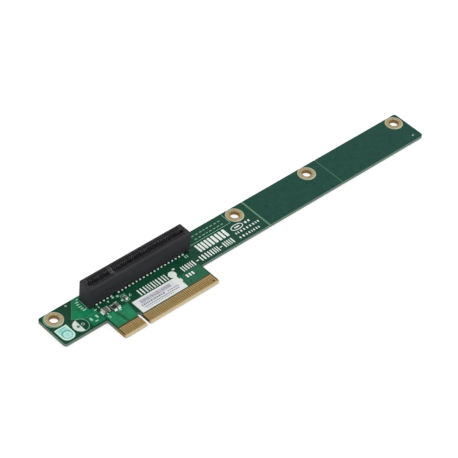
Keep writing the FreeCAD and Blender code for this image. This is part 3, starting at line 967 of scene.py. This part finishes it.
def filled_half(ink):
    """Half a disc with an opening round the lead pad: points at the same turn on an
    inner circle about the pad and on the half disc's rim."""
    unit = turned(HALF_DISC_POINTS)
    x, y, spacing = lead_rings()
    pad = np.array([x - spacing / 2, y])
    offset = pad - (x, y)
    reach = LEAD_OUTLINE - HALF_DISC_INSET
    lean = unit @ offset
    to_circle = -lean + np.sqrt(lean**2 + reach**2 - offset @ offset)
    chord = spacing / 2 - HALF_DISC_FROM_MIDDLE
    ahead = np.maximum(unit[:, 0], NEARLY_ZERO)
    to_chord = np.where(unit[:, 0] > NEARLY_ZERO, chord / ahead, np.inf)
    rim = (pad + unit * np.minimum(to_circle, to_chord)[:, None])[None]
    hole = (pad + unit * LEAD_OPENING)[None]
    faces = swept_quads(1, 4, HALF_DISC_POINTS, True).tolist()
    piece("print_half_disc", ring_points(rim, hole), faces, ink)


def label_print(ink, faint, random):
    """Irregular upright bars and rows of small marks on the white label."""
    corner, (_, _, base) = node_box("barcode_label")
    left, right, y, height, count = LABEL_BARS
    shares = random.uniform(*LABEL_BAR_SHARES, count)
    fills = random.uniform(*LABEL_BAR_FILLS, count)
    centres, halves = row(left, right, y, height, shares, 1.0)
    halves[:, 0] *= fills
    bars = (centres + corner[:2], halves)
    plates("label_bars", bars, SQUARE, faint, around=8, base=base)
    centres, halves = joined(*(uneven_row(random, *place) for place in LABEL_ROWS))
    small = (centres + corner[:2], halves)
    plates("label_small_marks", small, SOFT, ink, around=8, base=base)


def seal_print(ink):
    """Two dashes near the sticker's straight end."""
    corner, (_, _, base) = node_box("inspection_sticker")
    centres, halves = single(*SEAL_DASHES)
    dashes = (centres + corner[:2], halves)
    plates("seal_dashes", dashes, EASED, ink, base=base)


def dress():
    """Gives every carried-over CAD node its own finish."""
    gold = gold_finish()
    contact = contact_finish()
    ceramic = ceramic_finish()
    pads = solder_finish("pad_finish", srgb(206, 226, 212), srgb(166, 184, 172), 0.3)
    grey_pads = solder_finish("grey_pad_finish", srgb(156, 184, 168), srgb(116, 142, 128), 0.3)
    green_pads = solder_finish("bare_pad_finish", srgb(176, 234, 204), srgb(138, 196, 166), 0.15)
    dots = solder_finish("dot_finish", srgb(160, 196, 178), srgb(120, 156, 138), 0.3)
    finishes = {
        "circuit_board": mask_finish(),
        "slot_housing": housing_finish(),
        "barcode_label": paper_finish(),
        "inspection_sticker": seal_finish(),
        "chip_resistor_body": glaze_finish(),
        "alignment_dots": dots,
        "spare_lead_rings": grey_pads,
        "spare_chip_pads": green_pads,
    }
    for name, node in frame["nodes"].items():
        if name.startswith("edge_fingers"):
            finish = gold
        elif name.startswith("contacts"):
            finish = contact
        elif name.endswith("_body") and name != "chip_resistor_body":
            finish = ceramic
        else:
            finish = finishes.get(name, pads)
        for slot in node.material_slots:
            slot.material = finish


# Stage


def add_camera():
    """A camera whose level right-hand side and tilted view come from its angles, with
    both then rolled about the view."""
    turn, tilt, roll = np.radians((CAMERA_AZIMUTH, CAMERA_ELEVATION, CAMERA_ROLL)).tolist()
    ahead = Vector((math.sin(turn), math.cos(turn), 0.0))
    forward = ahead * math.cos(tilt) - Vector((0.0, 0.0, math.sin(tilt)))
    level = Vector((math.cos(turn), -math.sin(turn), 0.0))
    right = level * math.cos(roll) + level.cross(forward) * math.sin(roll)
    up = right.cross(forward)
    data = bpy.data.cameras.new("camera")
    data.lens = CAMERA_LENS
    data.sensor_width = SENSOR
    data.clip_start, data.clip_end = CAMERA_CLIP
    camera = bpy.data.objects.new("camera", data)
    facing = Matrix((right, up, -forward)).transposed().to_4x4()
    camera.matrix_world = Matrix.Translation(CAMERA_PLACE) @ facing
    bpy.context.scene.collection.objects.link(camera)
    bpy.context.scene.camera = camera


def add_lamp(name, place, size, power):
    """A round lamp that looks at the middle of the board."""
    data = bpy.data.lights.new(name, "AREA")
    data.shape = "DISK"
    data.size = size
    data.energy = power
    lamp = bpy.data.objects.new(name, data)
    lamp.location = place
    aim = Vector(LAMP_AIM) - Vector(place)
    lamp.rotation_euler = aim.to_track_quat("-Z", "Y").to_euler()
    bpy.context.scene.collection.objects.link(lamp)


def seen_directly(paint):
    """1 for camera, glossy and transmission rays, 0 for the light on the object."""
    names = ("Is Camera Ray", "Is Glossy Ray", "Is Transmission Ray")
    camera, glossy, through = (paint.node("ShaderNodeLightPath", output=n) for n in names)
    return camera.at_least(glossy).at_least(through)


def add_world():
    """Soft white light all round, which looks pure white when seen directly."""
    world = bpy.data.worlds.new("studio")
    bpy.context.scene.world = world
    paint = Paint(world)
    soft = paint.node("ShaderNodeBackground", None, {0: WHITE, 1: SOFT_LIGHT})
    white = paint.node("ShaderNodeBackground", None, {0: WHITE, 1: 1.0})
    both = paint.node("ShaderNodeMixShader", None, {0: seen_directly(paint), 1: soft, 2: white})
    paint.finished(both, "ShaderNodeOutputWorld")


def add_floor():
    """A level floor that glows nearly white where it is seen, so that a faint shadow
    is all that shows, and lights the board as a matt white sheet does."""
    side = np.linspace(-FLOOR_HALF, FLOOR_HALF, FLOOR_LINES)
    x, y = np.meshgrid(side, side)
    points = np.stack([x, y, np.full(x.shape, FLOOR_LEVEL)], axis=-1).reshape(-1, 3)
    quads = grid_quads(np.arange(x.size).reshape(x.shape))
    mesh = bpy.data.meshes.new("floor")
    mesh.from_pydata(points.tolist(), [], quads.tolist())
    floor = bpy.data.objects.new("floor", mesh)
    bpy.context.scene.collection.objects.link(floor)
    paint = new_paint("floor_finish")
    matt = paint.node("ShaderNodeBsdfDiffuse", None, {"Color": FLOOR_TONE})
    shaded = paint.node("ShaderNodeBsdfDiffuse", None, {"Color": FLOOR_SHADOW_TONE})
    glow = paint.node("ShaderNodeEmission", None, {0: WHITE, 1: FLOOR_GLOW})
    lifted = paint.node("ShaderNodeAddShader", None, {0: shaded, 1: glow})
    seen = seen_directly(paint)
    paint.finished(paint.node("ShaderNodeMixShader", None, {0: seen, 1: matt, 2: lifted}))
    mesh.materials.append(paint.owner)


dress()
eyelets(ring_finish())
tin = solder_finish("solder_finish", srgb(246, 250, 246), srgb(212, 222, 214), 0.1)
solder_joints(tin)
chip_fillets(tin)
random = np.random.default_rng(SEED)
white_ink = ink_finish("white_ink", srgb(240, 249, 244), srgb(204, 226, 214))
pale_ink = ink_finish("pale_ink", srgb(186, 232, 208), srgb(132, 190, 162))
faint_ink = ink_finish("faint_ink", srgb(134, 184, 156), srgb(96, 146, 120))
board_print(white_ink, pale_ink, faint_ink, random)
filled_half(ink_finish("disc_ink", srgb(222, 234, 228), srgb(188, 208, 198)))
label_ink = ink_finish("label_ink", srgb(112, 115, 128), srgb(160, 163, 176))
grey_ink = ink_finish("label_bar_ink", srgb(142, 143, 154), srgb(188, 188, 198))
label_print(label_ink, grey_ink, random)
seal_print(ink_finish("seal_ink", srgb(130, 186, 176), srgb(150, 204, 194)))
add_camera()
for lamp_name, (place, size, power) in LAMPS.items():
    add_lamp(lamp_name, place, size, power)
add_world()
add_floor()
bpy.context.scene.view_settings.view_transform = "Standard"
